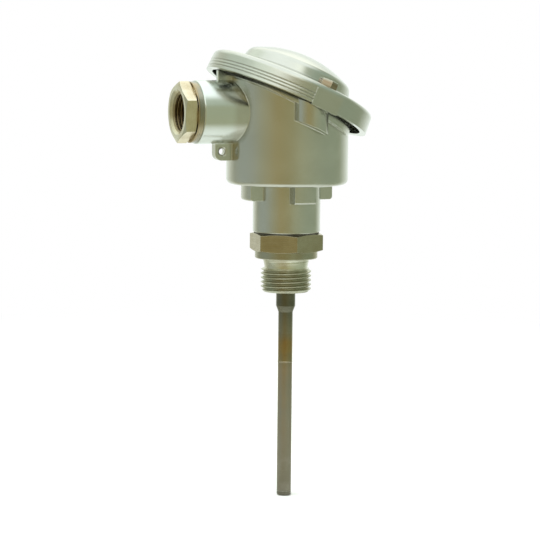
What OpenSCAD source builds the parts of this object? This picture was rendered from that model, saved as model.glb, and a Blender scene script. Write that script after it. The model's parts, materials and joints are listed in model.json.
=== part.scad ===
// Resistance thermometer with a form B connection head.
// Millimetres. +Z runs up the probe axis towards the head, the origin is the
// centre of the process sealing face, and the cable entry points along -X.

/* [Process connection] */
// Major diameter of the G1/2 screw-in thread
process_thread_d = 20.955; // [20.6:0.005:21.4]
// Screw-in length below the sealing face
process_thread_len = 14; // [12:0.5:18]
// Lead-in chamfer at the end of the screw-in thread
process_chamfer = 1.2; // [0.6:0.1:2]
// Waist diameter of the thread run-out groove
runout_d = 18.7; // [17.5:0.1:19.6]
// Length of the thread run-out groove
runout_len = 4.4; // [2.4:0.1:5.4]
// Sealing collar diameter
collar_d = 26; // [24.5:0.5:27]
// Sealing collar height
collar_h = 3; // [2:0.1:4.5]
// Hexagon across flats
hex_af = 27; // [27:0.5:32]
// Hexagon height
hex_h = 7.35; // [6:0.05:10]
// Turn of the hexagon about the probe axis
hex_turn = 25; // [0:1:59]

/* [Neck joint] */
// Major diameter of the thread between fitting and head
neck_thread_d = 24; // [21:0.5:24.5]
// Length of the threaded stub that enters the head
neck_thread_len = 11; // [8:0.5:14]
// Thickness of the flat seal under the head
neck_seal_t = 0.5; // [0.3:0.1:1.5]

/* [Probe] */
// Insertion length below the sealing face
insertion_len = 100; // [80:5:200]
// Diameter of the strengthened upper stem
stem_d = 8; // [7.5:0.1:9]
// Length of the strengthened stem below the thread
stem_len = 6; // [4:0.5:10]
// Length of the swaged taper
taper_len = 2.6; // [1.5:0.1:4]
// Diameter of the measuring tube
tube_d = 6; // [5.6:0.1:6.6]
// Wall of the measuring tube
tube_wall = 1; // [0.6:0.1:1.2]
// Depth of the weld between stem and measuring tube
weld_depth = 43.5; // [35:0.5:60]
// Height of the plug that closes the tip
plug_len = 1.8; // [1.2:0.1:3]

/* [Head body] */
// Outer diameter of the head body
body_d = 50.4; // [48.5:0.1:52]
// Wall of the head body
body_wall = 2.5; // [2:0.1:2.8]
// Height of the underside of the head body
body_base_z = 30.8; // [29.5:0.1:33]
// Thickness of the floor of the head body
floor_t = 3; // [2:0.1:4]
// Rounding under the head body
body_round = 2.2; // [1:0.1:3]
// Outer diameter of the neck
neck_d = 28; // [27:0.1:29]
// Metal past the threads of the insert's screws at the end of each block
block_end = 2.8; // [2.2:0.1:4]
// Width of the four thread blocks
block_w = 9.4; // [8:0.1:11]
// Height of the four thread blocks below the floor
block_h = 6.6; // [5:0.1:8]
// Turn of the thread blocks and the measuring insert about the probe axis
block_turn = 4.5; // [0:0.5:20]
// Turn of the front and rear blocks against the side ones
cross_turn = 2; // [0:0.5:4]
// Depth of the front and rear blocks below the side ones
cross_drop = 0.8; // [0:0.1:2]

/* [Cable entry] */
// Height of the cable entry axis
entry_z = 60.6; // [59:0.1:61.5]
// Reach of the entry boss from the axis
entry_reach = 40.8; // [38:0.1:44]
// Diameter of the entry boss
entry_boss_d = 25.9; // [24.5:0.1:26.5]
// Major diameter of the entry thread
entry_thread_d = 20; // [19:0.1:21]
// Major diameter of the inner thread of the reducer
reducer_bore_d = 16; // [14:0.1:16.5]
// Hexagon of the reducer across flats
reducer_af = 22; // [21:0.1:24]
// Hexagon thickness of the reducer
reducer_hex_t = 5.2; // [3:0.1:6]
// Thickness of the round shoulder behind the hexagon
reducer_shoulder_t = 2.4; // [1.2:0.1:3]
// Turn of the reducer's hexagon
reducer_turn = 6; // [0:1:59]
// Thickness of the web above the entry boss
web_t = 2.2; // [1.6:0.1:6]
// Reach of the web from the axis
web_reach = 31; // [29:0.1:32]

/* [Tie lug] */
// Reach of the tie lug from the axis
lug_reach = 32.4; // [30.5:0.1:35]
// Thickness of the tie lug
lug_t = 4; // [3:0.1:6]
// Height of the lower edge of the tie lug
lug_low_z = 40.8; // [39:0.1:42]
// Diameter of the hole in the tie lug
lug_hole_d = 2.6; // [2:0.1:3.2]

/* [Cover] */
// Tilt of the cover
cover_tilt = 23.9; // [15:0.1:28]
// Height of the cover's rim plane on the probe axis
cover_z = 64.2; // [63.5:0.1:68]
// Shift of the cover's centre down the slope
cover_shift = -0.9; // [-1.5:0.1:0.5]
// Rim diameter of the cover
cover_d = 71; // [70:0.1:74]
// Wall of the cover's skirt
skirt_wall = 2.6; // [1.8:0.1:3]
// Height of the cover's side wall
skirt_h = 6.4; // [5.5:0.1:8]
// Rounding between side wall and top
rim_round = 2.2; // [1:0.1:3]
// Slope of the top between rim and dome
apron_slope = 12; // [6:0.5:15]
// Wall of the apron and dome
dome_wall = 2.2; // [1.6:0.1:2.6]
// Height of the dome's crown above the rim plane
crown_h = 20.5; // [19:0.1:24]
// Radius of curvature of the crown
crown_r = 46; // [40:1:60]
// Shoulder radius of the dome
shoulder_r = 3.5; // [3:0.1:4.5]
// Diameter of the circle on which the shoulder's centre lies
shoulder_d = 38.7; // [37:0.1:40]
// Draft of the dome's side
dome_draft = 18; // [5:1:22]
// Diameter of the body flange under the cover
flange_d = 57; // [56:0.1:60]
// Thickness of the flange's visible edge on the axis
flange_t = 2.2; // [1.6:0.1:3.5]
// Height to which the body rim rises inside the cover
rim_rise = 3; // [2:0.1:3.4]

/* [Cover screws] */
// Thread diameter of the cover screws
screw_d = 4; // [3:0.1:4.2]
// Thread pitch of the cover screws
screw_pitch = 0.7; // [0.5:0.05:0.8]
// Distance of the cover screws from the rim of the cover
screw_inset = 6.9; // [6.5:0.1:7.3]
// Shift of the screws down the slope from the cover's centre
screw_shift = 2.7; // [1:0.1:4]
// Hexagon of the screw head across flats
screw_af = 6; // [5:0.1:7]
// Height of the screw head
screw_head_h = 3; // [2:0.1:3.2]
// Radius of the screw bosses on the body
boss_r = 6.9; // [6.4:0.1:7.2]
// Height of the screw bosses below the rim plane
boss_drop = 8.3; // [7.5:0.1:10]

/* [Measuring insert] */
// Gap between the insert's mounting plate and the head's wall
plate_gap = 1.7; // [1.4:0.1:2.5]
// Thickness of the mounting plate
plate_t = 1.5; // [1:0.1:2.5]
// Distance of the mounting screws from the rim of the plate
mount_inset = 4.5; // [4.2:0.1:5]
// Length of the ferrule under the mounting plate
ferrule_len = 6; // [4:0.5:8]
// Radius of the heads of the mounting screws
mount_head_r = 3.5; // [3:0.1:4]
// Height of the heads of the mounting screws
mount_head_h = 2.6; // [2:0.1:3]
// Diameter of the insert's sheath
insert_d = 3; // [2:0.1:3.4]
// Height of the ceramic terminal base
base_h = 8; // [6:0.1:9]
// Height of the mounting springs at rest
spring_h = 9; // [8:0.1:10]
// Wire diameter of the mounting springs
spring_wire = 0.7; // [0.5:0.05:0.8]
// Number of spring turns
spring_turns = 4.5; // [3:0.5:5]
// Diameter of the insulated lead wires
lead_d = 1; // [0.8:0.1:1.2]

/* [Hidden] */
$fn = 96;

// Clearances and small allowances
cut = 1;             // how far a cutting shape runs past a face
fit_gap = 0.05;      // radial gap of threads that are screwed together
slide_gap = 0.3;     // radial gap of a screw through a clearance hole
seat_gap = 0.1;      // gap between cast faces that do not touch

// Heights on the probe axis
hex_top_z = collar_h + hex_h;
neck_base_z = hex_top_z + neck_seal_t;
neck_thread_top_z = hex_top_z + neck_thread_len;
floor_z = body_base_z + floor_t;
plate_top_z = floor_z + plate_t;
block_base_z = body_base_z - block_h;

// Radii
body_r = body_d / 2;
cavity_r = body_r - body_wall;
plate_r = cavity_r - plate_gap;
mount_r = plate_r - mount_inset;
block_reach = mount_r + block_end;
neck_r = neck_d / 2;
neck_thread_r = neck_thread_d / 2;
wire_way_r = 8.5;    // passage from the neck thread up into the head
stem_bore_r = 2.6;   // bore of the strengthened stem
tube_r = tube_d / 2;
tube_bore_r = tube_r - tube_wall;

// Cover frame: centre of the rim plane
cover_x = cover_shift * cos(cover_tilt);
cover_cz = cover_z - cover_shift * sin(cover_tilt);
cover_r = cover_d / 2;
screw_y = cover_r - screw_inset;
skirt_draft = 0.35;  // how much narrower the side wall is at its top
bead_top = 3.9;      // height of the uppermost bead groove
bead_step = 1.25;    // spacing of the bead grooves
bead_depth = 0.35;   // depth of the bead grooves
pad_r = 6;           // radius of the cover's screw pads
pad_inner_y = body_r + 0.35;
head_seat_h = 8.1;   // seat of the screw washer above the rim plane
recess_r = 4.9;      // recess round the screw washer
washer_t = 0.6;
seal_t = 1.6;        // thickness of the cover seal
screw_travel = 6;    // how far a cover screw backs out
screw_len = 15;      // cover screw length under the head

// Insert layout
spring_r = screw_d / 2 + 1.0;
insert_screw_head_z = plate_top_z + spring_h;
terminal_x = 10;
terminal_y = 6;
terminal_l = 7;
terminal_w = 6;
terminal_h = 6;
terminal_z = plate_top_z + base_h;
terminal_spots = [[-1, -1], [1, -1], [1, 1], [-1, 1]];

lead_spread = 0.62;  // how far the leads stand from the insert's axis where they leave it

// Points of an arc from angle a to angle b
function arc_points(c, r, a, b, n = 8) =
    [for (i = [0:n]) let (t = a + (b - a) * i / n) [c[0] + r * cos(t), c[1] + r * sin(t)]];

// Carries its children from the cover's own frame into place
module on_cover() {
    translate([cover_x, 0, cover_cz]) rotate([0, cover_tilt, 0]) children();
}

// Everything below the plane at height h over the cover's rim plane
module below_cover_plane(h) {
    on_cover() translate([-60, -60, h - 120]) cube([120, 120, 120]);
}

// Screw axis of one side of the cover; side is -1 for front and 1 for rear
module on_screw(side) {
    on_cover() translate([screw_shift, side * screw_y, 0]) children();
}

// A hexagonal prism with its corners turned down at both ends
module chamfered_hex(af, h, chamfer) {
    corner_r = af / sqrt(3);
    intersection() {
        cylinder(r = corner_r, h = h, $fn = 6);
        rotate_extrude() polygon([[0, 0], [af / 2 - 0.2, 0], [corner_r, chamfer],
            [corner_r, h - chamfer], [af / 2 - 0.2, h], [0, h]]);
    }
}

// Round tube swept along a path of points, with side vectors a and b at each point
module swept_tube(path, va, vb, r, sides = 8) {
    n = len(path);
    points = [for (i = [0:n - 1]) for (k = [0:sides - 1])
        let (t = 360 * k / sides) path[i] + r * cos(t) * va[i] + r * sin(t) * vb[i]];
    walls = [for (i = [0:n - 2]) for (k = [0:sides - 1]) let (m = (k + 1) % sides)
        [i * sides + k, i * sides + m, (i + 1) * sides + m, (i + 1) * sides + k]];
    start_cap = [[for (k = [0:sides - 1]) sides - 1 - k]];
    end_cap = [[for (k = [0:sides - 1]) (n - 1) * sides + k]];
    polyhedron(points = points, faces = concat(walls, start_cap, end_cap), convexity = 10);
}

// ---------------------------------------------------------------- head body

// Neck, rounded underside and wall, turned about the probe axis
module body_turning() {
    top_z = cover_z + body_r;
    edge = 0.6;
    rotate_extrude() polygon(concat(
        [[0, neck_base_z]],
        arc_points([neck_r - edge, neck_base_z + edge], edge, -90, 0, 4),
        arc_points([neck_r + 0.8, body_base_z - 0.8], 0.8, 180, 90, 4),
        arc_points([body_r - body_round, body_base_z + body_round], body_round, -90, 0, 8),
        [[body_r, top_z], [0, top_z]]));
}

// Flange that carries the cover, with a lower face that thickens down the slope
module body_flange() {
    skew = 3.4;
    difference() {
        intersection() {
            on_cover() translate([0.6, 0, -8]) cylinder(d = flange_d, h = 8 + rim_rise);
            on_cover() rotate([0, skew, 0]) translate([-60, -60, -flange_t]) cube([120, 120, 60]);
        }
        for (side = [-1, 1])
            on_screw(side) translate([0, 0, -seat_gap]) cylinder(r = pad_r + 0.5, h = 20);
    }
}

// Half-round boss under each cover screw
module screw_boss(side) {
    intersection() {
        translate([0, side * (body_r + 0.3), 30]) cylinder(r = boss_r, h = 60);
        below_cover_plane(-seat_gap);
        on_cover() translate([-60, -60, -boss_drop]) cube([120, 120, 60]);
    }
}

// One pair of blocks beside the neck
module block_pair(turn, h) {
    edge = 1.2;
    low_z = body_base_z - h;
    intersection() {
        rotate([0, 0, turn]) translate([-block_reach - cut, -block_w / 2, low_z])
            cube([2 * (block_reach + cut), block_w, h + 1]);
        rotate_extrude() polygon(concat(
            [[0, low_z]], arc_points([block_reach - edge, low_z + edge], edge, -90, 0, 6),
            [[block_reach, floor_z], [0, floor_z]]));
    }
}

// Blocks that hold the threads of the insert's screws, the pair across a little deeper
module neck_blocks() {
    block_pair(block_turn, block_h);
    block_pair(90 + block_turn - cross_turn, block_h + cross_drop);
}

// Cable entry boss with a rounded mouth
module entry_boss() {
    r = entry_boss_d / 2;
    edge = 0.5;
    translate([-entry_reach, 0, entry_z]) rotate([0, 90, 0])
        rotate_extrude() polygon(concat(
            [[0, 0]], arc_points([r - edge, edge], edge, -90, 0, 4),
            [[r, entry_reach - cavity_r + 3], [0, entry_reach - cavity_r + 3]]));
}

// Web between the entry boss and the flange
module entry_web() {
    intersection() {
        translate([-web_reach, -web_t / 2, entry_z]) cube([web_reach - cavity_r, web_t, 40]);
        below_cover_plane(-0.3);
    }
}

// Drilled lug under the entry boss, with one rounded corner
module tie_lug() {
    corner = 2.8;
    length = lug_reach - cavity_r - 1;
    top_z = entry_z - entry_boss_d / 2 + 2;
    translate([-lug_reach, lug_t / 2, lug_low_z]) rotate([90, 0, 0]) linear_extrude(lug_t)
        polygon(concat(
            arc_points([corner, corner], corner, 180, 270, 6),
            [[length, 0], [length, top_z - lug_low_z], [0, top_z - lug_low_z]]));
}

// Pad on the inner wall for the earth screw
earth_a = 50 + block_turn;
earth_z = floor_z + 13;
earth_r = cavity_r - 2.2;
earth_head_h = 2;
module earth_pad() {
    rotate([0, 0, earth_a]) translate([earth_r, 0, earth_z]) rotate([0, 90, 0])
        cylinder(r = 4, h = cavity_r - earth_r + 1);
}

module head_body() color([0.72, 0.73, 0.70]) {
    lug_hole_x = -(lug_reach - 3.1);
    lug_hole_z = lug_low_z + 3.7;
    difference() {
        union() {
            difference() {
                union() {
                    intersection() {
                        body_turning();
                        below_cover_plane(rim_rise);
                    }
                    body_flange();
                    for (side = [-1, 1]) screw_boss(side);
                    neck_blocks();
                    entry_boss();
                    entry_web();
                    tie_lug();
                }
                // Wiring space
                translate([0, 0, floor_z]) cylinder(r = cavity_r, h = 60);
            }
            intersection() {
                earth_pad();
                translate([0, 0, floor_z]) cylinder(r = cavity_r + 1, h = 40);
            }
        }
        // Neck thread and the wire way above it
        translate([0, 0, neck_base_z - cut]) cylinder(r = neck_thread_r, h = neck_thread_len + cut + 1.5);
        translate([0, 0, neck_base_z]) cylinder(r = wire_way_r, h = 60);
        // Entry thread and the way into the head
        translate([-entry_reach - cut, 0, entry_z]) rotate([0, 90, 0])
            cylinder(r = entry_thread_d / 2, h = entry_reach - body_r + cut);
        translate([-entry_reach, 0, entry_z]) rotate([0, 90, 0])
            cylinder(r = entry_thread_d / 2 - 1, h = entry_reach);
        // Threads for the cover screws
        for (side = [-1, 1]) on_screw(side) translate([0, 0, 1.4 - boss_drop])
            cylinder(r = screw_d / 2, h = boss_drop + rim_rise);
        // Threads for the insert's screws
        for (a = [0:90:270]) rotate([0, 0, a + block_turn]) translate([mount_r, 0, block_base_z + 1.5])
            cylinder(r = screw_d / 2, h = 40);
        // Thread for the earth screw
        rotate([0, 0, earth_a]) translate([earth_r - cut, 0, earth_z]) rotate([0, 90, 0])
            cylinder(r = screw_d / 2, h = cut + 3.9);
        // Hole of the tie lug, countersunk on both faces
        translate([lug_hole_x, 0, lug_hole_z]) rotate([90, 0, 0]) {
            translate([0, 0, -lug_t]) cylinder(d = lug_hole_d, h = 2 * lug_t);
            for (m = [0, 1]) mirror([0, 0, m]) translate([0, 0, lug_t / 2 - 0.6])
                cylinder(d1 = lug_hole_d, d2 = lug_hole_d + 1.6, h = 0.8);
        }
    }
}

// ------------------------------------------------------------------- cover

// Crown and shoulder of the dome, offset inwards by w
function dome_shoulder() = [shoulder_d / 2,
    crown_h - crown_r + sqrt(pow(crown_r - shoulder_r, 2) - pow(shoulder_d / 2, 2))];
function apron_height(r, w) =
    skirt_h + rim_round * sin(90 - apron_slope) - w / cos(apron_slope)
    + (cover_r - skirt_draft - rim_round + rim_round * cos(90 - apron_slope) - r) * tan(apron_slope);
function dome_foot(w) =
    let (c = dome_shoulder(), d = dome_draft, s = shoulder_r - w,
         p = [c[0] + s * cos(d), c[1] + s * sin(d)],
         t = (p[1] - apron_height(p[0], w)) / (cos(d) - tan(apron_slope) * sin(d)))
    [p[0] + t * sin(d), p[1] - t * cos(d)];
function dome_points(w) =
    let (c = dome_shoulder(), a = atan2(c[1] - crown_h + crown_r, c[0]))
    concat([dome_foot(w)],
        arc_points(c, shoulder_r - w, dome_draft, a, 6),
        arc_points([0, crown_h - crown_r], crown_r - w, a, 90, 10));

// Outer form of the cover, with bead grooves round the skirt
module cover_form() {
    top_r = cover_r - skirt_draft;
    beads = [for (i = [2:-1:0]) let (h = bead_top - i * bead_step,
            r = cover_r - skirt_draft * h / skirt_h)
        each [[r, h - 0.3], [r - bead_depth, h - 0.1], [r - bead_depth, h + 0.1], [r, h + 0.3]]];
    rotate_extrude() polygon(concat(
        [[0, 0], [cover_r, 0]], beads,
        arc_points([top_r - rim_round, skirt_h], rim_round, 0, 90 - apron_slope, 6),
        dome_points(0)));
}

// Plain band that covers the beads over the low half of the rim
module cover_plain_band() {
    intersection() {
        rotate_extrude() polygon([[cover_r - 1.5, 0], [cover_r, 0],
            [cover_r - skirt_draft, skirt_h], [cover_r - 1.5, skirt_h]]);
        translate([screw_shift - pad_r, -60, -10]) cube([120, 120, 40]);
    }
}

// Flat-fronted pad on the rim beside each screw
module cover_rim_pad(side) {
    depth = 2.4;
    front = cover_r + 0.25;
    translate([screw_shift - pad_r, side > 0 ? front - depth : -front, -0.8])
        cube([2 * pad_r, depth, skirt_h + 0.8]);
}

// Underside of the cover, to be cut away
module cover_hollow() {
    inner_r = cover_r - skirt_wall;
    rotate_extrude() polygon(concat(
        [[0, -2], [inner_r, -2], [inner_r, apron_height(inner_r, dome_wall)]],
        dome_points(dome_wall)));
}

// Land that carries the seal; its walls are parallel to the probe axis
module cover_land() {
    intersection() {
        translate([-60, -60, rim_rise + seat_gap]) cube([120, 120, 40]);
        rotate([0, -cover_tilt, 0]) translate([-cover_x, 0, -60])
            difference() {
                cylinder(r = body_r + 0.9, h = 120);
                translate([0, 0, -1]) cylinder(r = cavity_r - 1, h = 122);
            }
    }
}

// Slanted ring between two heights over the rim plane
module cover_ring(r_in, r_out, h_low, h_high) {
    intersection() {
        translate([-60, -60, h_low]) cube([120, 120, h_high - h_low]);
        rotate([0, -cover_tilt, 0]) translate([-cover_x, 0, -60])
            difference() {
                cylinder(r = r_out, h = 120);
                translate([0, 0, -1]) cylinder(r = r_in, h = 122);
            }
    }
}

module head_cover() color([0.74, 0.75, 0.72]) on_cover() difference() {
    union() {
        cover_form();
        cover_plain_band();
        for (side = [-1, 1]) cover_rim_pad(side);
    }
    difference() {
        cover_hollow();
        cover_land();
        for (side = [-1, 1]) intersection() {
            translate([screw_shift, side * screw_y, 0]) cylinder(r = pad_r, h = 30);
            translate([-60, side > 0 ? pad_inner_y : -60 - pad_inner_y, 0]) cube([120, 60, 60]);
        }
    }
    cover_ring(cavity_r - 0.15, body_r + 0.15, rim_rise - 1, rim_rise + seal_t);
    for (side = [-1, 1]) translate([screw_shift, side * screw_y, 0]) {
        translate([0, 0, -2]) cylinder(r = screw_d / 2 + slide_gap, h = 30);
        translate([0, 0, head_seat_h]) cylinder(r = recess_r, h = 20);
    }
}

module cover_seal() color([0.16, 0.16, 0.17]) on_cover()
    cover_ring(cavity_r, body_r, rim_rise, rim_rise + seal_t);

// Captive hexagon screw with a driver slot and a relieved shank
module cover_screw(side) color([0.72, 0.66, 0.50]) on_screw(side) {
    seat = head_seat_h + washer_t;
    difference() {
        union() {
            translate([0, 0, seat]) chamfered_hex(screw_af, screw_head_h, 0.5);
            translate([0, 0, seat - screw_len]) cylinder(r = screw_d / 2 - fit_gap, h = screw_len + 0.1);
        }
        translate([-screw_af, -0.5, seat + screw_head_h - 1.1]) cube([2 * screw_af, 1, 2]);
        translate([0, 0, 0.6]) difference() {
            cylinder(r = screw_d / 2 + 1, h = 5);
            translate([0, 0, -1]) cylinder(r = screw_d / 2 - 0.6, h = 7);
        }
    }
}
module cover_screw_front() cover_screw(-1);
module cover_screw_rear() cover_screw(1);

module screw_washer(side) color([0.62, 0.62, 0.60]) on_screw(side)
    translate([0, 0, head_seat_h]) difference() {
        cylinder(r = 3.9, h = washer_t);
        translate([0, 0, -cut]) cylinder(r = screw_d / 2 + 0.1, h = washer_t + 2 * cut);
    }
module screw_washer_front() screw_washer(-1);
module screw_washer_rear() screw_washer(1);

// ------------------------------------------------------------- cable entry

reducer_seal_d = 1.5;
module cable_reducer() color([0.80, 0.76, 0.62]) {
    shank_len = 9.5;
    countersink = 1.2;
    face_x = entry_reach + reducer_shoulder_t + reducer_hex_t;
    translate([-face_x, 0, entry_z]) rotate([0, 90, 0]) difference() {
        union() {
            rotate([0, 0, reducer_turn]) chamfered_hex(reducer_af, reducer_hex_t, 0.7);
            translate([0, 0, reducer_hex_t])
                cylinder(r = entry_boss_d / 2 - 0.5, h = reducer_shoulder_t);
            cylinder(r = entry_thread_d / 2 - fit_gap,
                h = reducer_hex_t + reducer_shoulder_t + shank_len);
        }
        translate([0, 0, -cut]) cylinder(r = reducer_bore_d / 2, h = 40);
        translate([0, 0, -0.01])
            cylinder(r1 = reducer_bore_d / 2 + countersink, r2 = reducer_bore_d / 2, h = countersink);
        translate([0, 0, reducer_hex_t + reducer_shoulder_t - 1]) difference() {
            cylinder(r = entry_thread_d / 2 + 1, h = 1.01);
            translate([0, 0, -cut]) cylinder(r = entry_thread_d / 2 - fit_gap, h = 3);
        }
    }
}

// Seal ring in the recess of the reducer's shoulder
module reducer_seal() color([0.10, 0.10, 0.10])
    translate([-entry_reach, 0, entry_z]) rotate([0, -90, 0]) difference() {
        cylinder(r = entry_thread_d / 2 + 0.95, h = 0.98);
        translate([0, 0, -cut]) cylinder(r = entry_thread_d / 2, h = 3);
    }

module earth_screw() color([0.74, 0.72, 0.66])
    rotate([0, 0, earth_a]) translate([earth_r, 0, earth_z]) rotate([0, 90, 0]) {
        difference() {
            union() {
                translate([0, 0, -earth_head_h]) cylinder(r = 3.2, h = earth_head_h);
                translate([0, 0, -0.1]) cylinder(r = screw_d / 2 - fit_gap, h = 3.7);
            }
            translate([-4, -0.5, -earth_head_h - 1]) cube([8, 1, 1.9]);
        }
    }

// -------------------------------------------------------- process connection

module process_fitting() color([0.66, 0.64, 0.54]) {
    thread_r = process_thread_d / 2;
    waist_r = runout_d / 2;
    flare = 0.9;
    corner_r = hex_af / sqrt(3);
    hex_edge = 0.6;
    difference() {
        union() {
            // Screw-in part, run-out groove and collar
            rotate_extrude() polygon([
                [0, -process_thread_len], [thread_r - process_chamfer, -process_thread_len],
                [thread_r, -process_thread_len + process_chamfer], [thread_r, -runout_len - 0.4],
                [waist_r, -runout_len + 0.5], [waist_r, -flare - 0.3],
                [waist_r + flare * 0.9, 0], [collar_d / 2 - 0.3, 0], [collar_d / 2, 0.3],
                [collar_d / 2, collar_h + 0.1], [0, collar_h + 0.1]]);
            rotate([0, 0, hex_turn]) translate([0, 0, collar_h]) intersection() {
                cylinder(r = corner_r, h = hex_h, $fn = 6);
                rotate_extrude() polygon([[0, 0], [hex_af / 2, 0], [corner_r, hex_edge],
                    [corner_r, hex_h - hex_edge], [hex_af / 2, hex_h], [0, hex_h]]);
            }
            // Threaded stub that enters the head
            rotate_extrude() polygon([[0, collar_h], [neck_thread_r - fit_gap, collar_h],
                [neck_thread_r - fit_gap, neck_thread_top_z - 1],
                [neck_thread_r - 1.05, neck_thread_top_z], [0, neck_thread_top_z]]);
        }
        // Stem socket from above, stem hole to below
        translate([0, 0, -process_thread_len - cut]) cylinder(r = stem_d / 2, h = 80);
        translate([0, 0, hex_top_z]) cylinder(r = neck_thread_r - 4.5, h = neck_thread_len + 20);
    }
}

module neck_seal() color([0.12, 0.12, 0.12])
    translate([0, 0, hex_top_z]) difference() {
        cylinder(r = neck_r - 0.5, h = neck_seal_t);
        translate([0, 0, -cut]) cylinder(r = neck_thread_r + 0.1, h = neck_seal_t + 2 * cut);
    }

// ------------------------------------------------------------------- probe

stem_low_z = -process_thread_len - stem_len;
weld_z = -weld_depth;
module stem_tube() color([0.52, 0.50, 0.40]) {
    rotate_extrude() polygon([
        [tube_bore_r, weld_z], [tube_r, weld_z], [tube_r, stem_low_z - taper_len],
        [stem_d / 2, stem_low_z], [stem_d / 2, hex_top_z],
        [stem_bore_r, hex_top_z], [stem_bore_r, stem_low_z], [tube_bore_r, stem_low_z - taper_len]]);
}

module tip_tube() color([0.52, 0.51, 0.42])
    translate([0, 0, -insertion_len + plug_len]) difference() {
        cylinder(r = tube_r, h = insertion_len - plug_len - weld_depth);
        translate([0, 0, -cut]) cylinder(r = tube_bore_r, h = insertion_len);
    }

module tip_plug() color([0.46, 0.45, 0.37]) {
    edge = 0.5;
    spigot = 1;
    rotate_extrude() polygon(concat(
        [[0, -insertion_len]],
        arc_points([tube_r - edge, -insertion_len + edge], edge, -90, 0, 5),
        [[tube_r, -insertion_len + plug_len], [tube_bore_r - 0.02, -insertion_len + plug_len],
         [tube_bore_r - 0.02, -insertion_len + plug_len + spigot],
         [0, -insertion_len + plug_len + spigot]]));
}

// ------------------------------------------------------------ measuring insert

insert_low_z = -insertion_len + plug_len + 1.1;
insert_top_z = plate_top_z + 4;
module on_blocks() rotate([0, 0, block_turn]) children();

module insert_plate() color([0.68, 0.68, 0.66]) on_blocks() difference() {
    union() {
        translate([0, 0, floor_z]) cylinder(r = plate_r, h = plate_t);
        translate([0, 0, floor_z - ferrule_len]) cylinder(r = insert_d / 2 + 1.2, h = ferrule_len + 0.1);
    }
    translate([0, 0, floor_z - ferrule_len - cut])
        cylinder(r = insert_d / 2, h = ferrule_len + plate_t + 2 * cut);
    for (side = [-1, 1]) translate([0, side * mount_r, floor_z - cut])
        cylinder(r = screw_d / 2 + slide_gap, h = plate_t + 2 * cut);
}

module insert_tube() color([0.60, 0.60, 0.58])
    translate([0, 0, insert_low_z]) difference() {
        cylinder(d = insert_d, h = insert_top_z - insert_low_z);
        translate([0, 0, 0.5]) cylinder(r = insert_d / 2 - 0.35, h = 300);
    }

element_len = 12;
module insulation_core() color([0.90, 0.89, 0.85])
    translate([0, 0, insert_low_z + 0.5 + element_len])
        cylinder(r = insert_d / 2 - 0.36, h = insert_top_z - insert_low_z - 0.5 - element_len);

module sensor_element() color([0.93, 0.92, 0.88])
    translate([0, 0, insert_low_z + 0.5]) cylinder(r = insert_d / 2 - 0.5, h = element_len);

module insert_screws() color([0.72, 0.70, 0.64]) on_blocks() for (side = [-1, 1])
    translate([0, side * mount_r, 0]) difference() {
        union() {
            translate([0, 0, block_base_z + 1.6])
                cylinder(r = screw_d / 2 - fit_gap, h = insert_screw_head_z - block_base_z - 1.5);
            translate([0, 0, insert_screw_head_z]) cylinder(r = mount_head_r, h = mount_head_h);
        }
        translate([-mount_head_r - cut, -0.5, insert_screw_head_z + mount_head_h - 1.1])
            cube([2 * (mount_head_r + cut), 1, 2]);
    }

// Helical spring about a mounting screw
module mount_spring(side) {
    steps = 16;
    r = spring_wire / 2;
    rise = spring_h - spring_wire - 0.04;
    n = round(spring_turns * steps);
    turns = [for (i = [0:n]) 360 * i / steps];
    base_z = plate_top_z + r + 0.02;
    path = [for (i = [0:n]) [spring_r * cos(turns[i]), side * mount_r + spring_r * sin(turns[i]),
        base_z + rise * i / n]];
    va = [for (i = [0:n]) [cos(turns[i]), sin(turns[i]), 0]];
    vb = [for (i = [0:n]) [0, 0, 1]];
    swept_tube(path, va, vb, r);
}
module insert_spring_front() color([0.70, 0.70, 0.68]) on_blocks() mount_spring(-1);
module insert_spring_rear() color([0.70, 0.70, 0.68]) on_blocks() mount_spring(1);

// Ceramic base with a wire hole, end walls and ribs between the terminals
module terminal_base() color([0.93, 0.91, 0.86]) {
    half_w = mount_r - spring_r - spring_wire - 0.8;
    outer_r = plate_r - 3.6;
    rib_t = 2;
    rib_h = 5;
    on_blocks() translate([0, 0, plate_top_z]) difference() {
        union() {
            intersection() {
                cylinder(r = outer_r, h = base_h);
                translate([-30, -half_w, -cut]) cube([60, 2 * half_w, 40]);
            }
            intersection() {
                cylinder(r = outer_r, h = base_h + rib_h);
                union() {
                    for (m = [0, 1]) mirror([m, 0, 0])
                        translate([4.6, -rib_t / 2, base_h - cut]) cube([12, rib_t, 20]);
                    for (m = [0, 1]) mirror([m, 0, 0])
                        translate([terminal_x + terminal_l / 2 + 0.6, -half_w, base_h - cut])
                            cube([rib_t, 2 * half_w, 20]);
                }
            }
        }
        translate([0, 0, -cut]) cylinder(r = 3.6, h = 40);
    }
}

// Brass saddle terminal with a wire hole and a screw hole
module terminal(i) color([0.80, 0.70, 0.40]) on_blocks() {
    s = terminal_spots[i];
    translate([s[0] * terminal_x, s[1] * terminal_y, terminal_z]) difference() {
        translate([-terminal_l / 2, -terminal_w / 2, 0]) cube([terminal_l, terminal_w, terminal_h]);
        translate([-terminal_l, 0, 2.4]) rotate([0, 90, 0]) cylinder(r = 1.3, h = 2 * terminal_l);
        cylinder(r = 1.5, h = 20);
    }
}
module terminal_1() terminal(0);
module terminal_2() terminal(1);
module terminal_3() terminal(2);
module terminal_4() terminal(3);

module terminal_screws() color([0.78, 0.76, 0.70]) on_blocks() for (s = terminal_spots)
    translate([s[0] * terminal_x, s[1] * terminal_y, terminal_z]) difference() {
        union() {
            translate([0, 0, 3.8]) cylinder(r = 1.45, h = terminal_h - 3.7);
            translate([0, 0, terminal_h]) cylinder(r = 2.7, h = 2);
        }
        translate([-3, -0.4, terminal_h + 1.1]) cube([6, 0.8, 2]);
    }

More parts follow.
